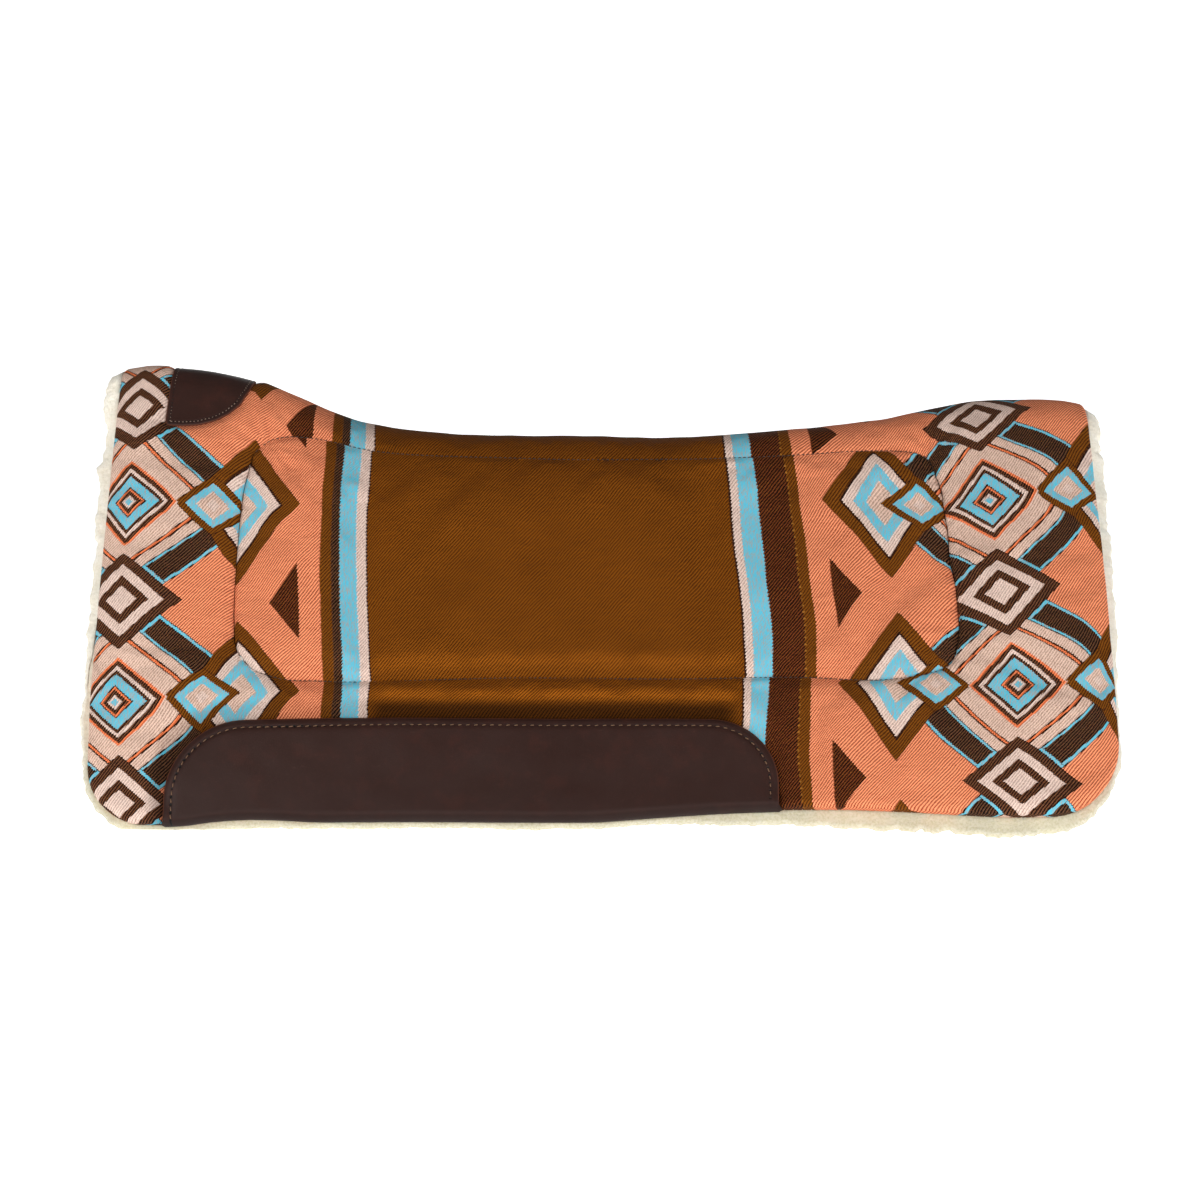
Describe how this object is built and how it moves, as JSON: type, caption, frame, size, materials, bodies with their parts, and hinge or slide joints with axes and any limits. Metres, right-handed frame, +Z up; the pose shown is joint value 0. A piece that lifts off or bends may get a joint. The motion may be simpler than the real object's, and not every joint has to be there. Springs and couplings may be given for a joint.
{
  "type": "western saddle pad",
  "caption": "Contoured western saddle pad that stands like a tent: woven geometric cover, felt core, fleece lining, leather wear strips and wither patch, with hinged sides.",
  "frame": {"origin": "on the floor, under the middle of the pad's bounding box", "axes": "+X from the withers (front) end to the rear end, along the ridge; -Y to the near (left) side, which faces the camera; +Z up"},
  "size_m": [0.8274, 0.4376, 0.369],
  "materials": {
    "woven_cover": "heavy twill weave with a geometric pattern",
    "fleece": "curly fleece pile",
    "felt": "pressed felt",
    "wadding": "soft wadding",
    "insert_foam": "closed-cell foam",
    "leather": "smooth dark brown, light sheen",
    "thread": "bonded sewing thread"
  },
  "bodies": {
    "spine": {"cover_ridge_near": "woven_cover", "cover_ridge_far": "woven_cover", "wadding_ridge": "wadding", "core_ridge": "felt", "fleece_ridge": "fleece", "wither_patch": "leather", "wither_patch_thread": "thread", "ridge_seam_thread": "thread"},
    "near_side": {"cover_near": "woven_cover", "border_wadding_near": "wadding", "bar_insert_near": "insert_foam", "core_near": "felt", "fleece_near": "fleece", "wear_leather_near": "leather", "quilting_thread_near": "thread", "wear_leather_thread_near": "thread", "hem_thread_front_near": "thread", "hem_thread_rear_near": "thread"},
    "far_side": {"cover_far": "woven_cover", "border_wadding_far": "wadding", "bar_insert_far": "insert_foam", "core_far": "felt", "fleece_far": "fleece", "wear_leather_far": "leather", "quilting_thread_far": "thread", "wear_leather_thread_far": "thread", "hem_thread_front_far": "thread", "hem_thread_rear_far": "thread"}
  },
  "joints": [
    {"name": "near_fold", "type": "hinge", "parent": "spine", "child": "near_side", "pos_m": [0, -0.056, 0.3], "axis": [-1, 0, 0], "range_deg": [-8, 60]},
    {"name": "far_fold", "type": "hinge", "parent": "spine", "child": "far_side", "pos_m": [0, 0.056, 0.3], "axis": [1, 0, 0], "range_deg": [-8, 60]}
  ]
}
